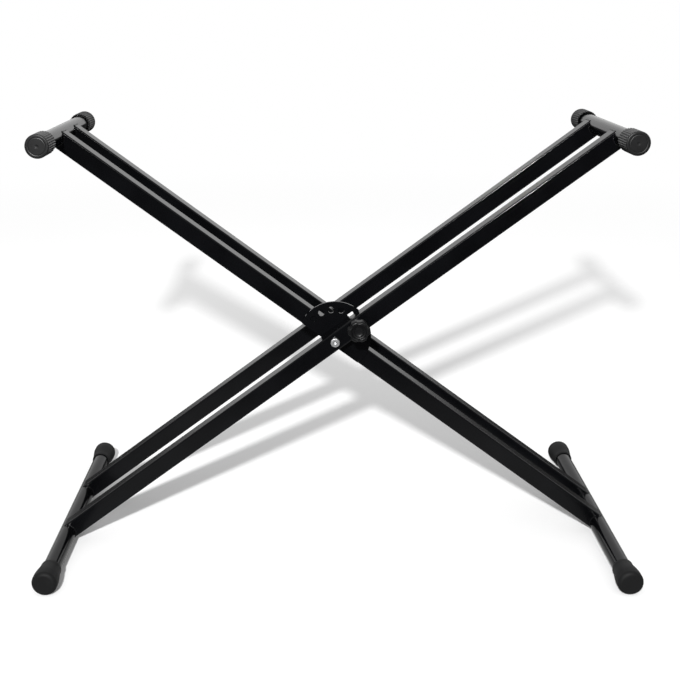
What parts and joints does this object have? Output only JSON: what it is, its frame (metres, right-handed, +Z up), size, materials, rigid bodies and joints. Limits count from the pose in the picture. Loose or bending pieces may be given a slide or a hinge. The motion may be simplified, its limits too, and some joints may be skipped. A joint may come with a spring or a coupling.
{
  "type": "folding keyboard stand",
  "caption": "Black tubular stand whose two double-braced frames cross on bolts and fold like scissors, set by a sprung plunger in an index plate.",
  "frame": {"origin": "on the floor, midway between the two foot bars and between the front and the rear", "axes": "+X across the stand from the inner frame's rest bar side to the outer frame's rest bar side, +Y from the front, where the knob is, to the rear, +Z up"},
  "size_m": [0.8474, 0.4752, 0.6268],
  "materials": {
    "black_powder_coat": "satin",
    "ribbed_rubber": "matte",
    "smooth_rubber": "matte",
    "zinc_plate": "satin",
    "white_nylon": "matte",
    "black_nylon": "matte",
    "moulded_knob": "satin",
    "black_steel": "satin",
    "bright_steel": "satin"
  },
  "bodies": {
    "outer_frame": {"lock_barrel": "black_steel", "lock_barrel_plug": "black_steel", "lock_spring": "bright_steel", "nut_locking_ring_front": "white_nylon", "nut_locking_ring_rear": "white_nylon", "nut_washer_front": "zinc_plate", "nut_washer_rear": "zinc_plate", "outer_arm_front": "black_powder_coat", "outer_arm_rear": "black_powder_coat", "outer_foot_bar": "black_powder_coat", "outer_foot_cap_front": "smooth_rubber", "outer_foot_cap_rear": "smooth_rubber", "outer_rest_bar": "black_powder_coat", "outer_rest_cap_front": "ribbed_rubber", "outer_rest_cap_rear": "ribbed_rubber", "pivot_bolt_front": "zinc_plate", "pivot_bolt_rear": "zinc_plate", "pivot_nut_front": "zinc_plate", "pivot_nut_rear": "zinc_plate", "slip_washer_front": "black_nylon", "slip_washer_rear": "black_nylon"},
    "inner_frame": {"index_plate": "black_powder_coat", "inner_arm_front": "black_powder_coat", "inner_arm_rear": "black_powder_coat", "inner_foot_bar": "black_powder_coat", "inner_foot_cap_front": "smooth_rubber", "inner_foot_cap_rear": "smooth_rubber", "inner_rest_bar": "black_powder_coat", "inner_rest_cap_front": "ribbed_rubber", "inner_rest_cap_rear": "ribbed_rubber", "pivot_sleeve_front": "bright_steel", "pivot_sleeve_rear": "bright_steel"},
    "plunger": {"lock_plunger": "bright_steel", "lock_knob": "moulded_knob"}
  },
  "joints": [
    {"name": "fold", "type": "hinge", "parent": "outer_frame", "child": "inner_frame", "pos_m": [0, 0, 0.3204], "axis": [0, 1, 0], "range_deg": [-40.8, 102]},
    {"name": "lock_pull", "type": "slide", "parent": "outer_frame", "child": "plunger", "axis": [0, 1, 0], "range_m": [-0.005, 0.003], "stiffness_N_per_m": 1500, "deforming": ["lock_spring"]}
  ]
}
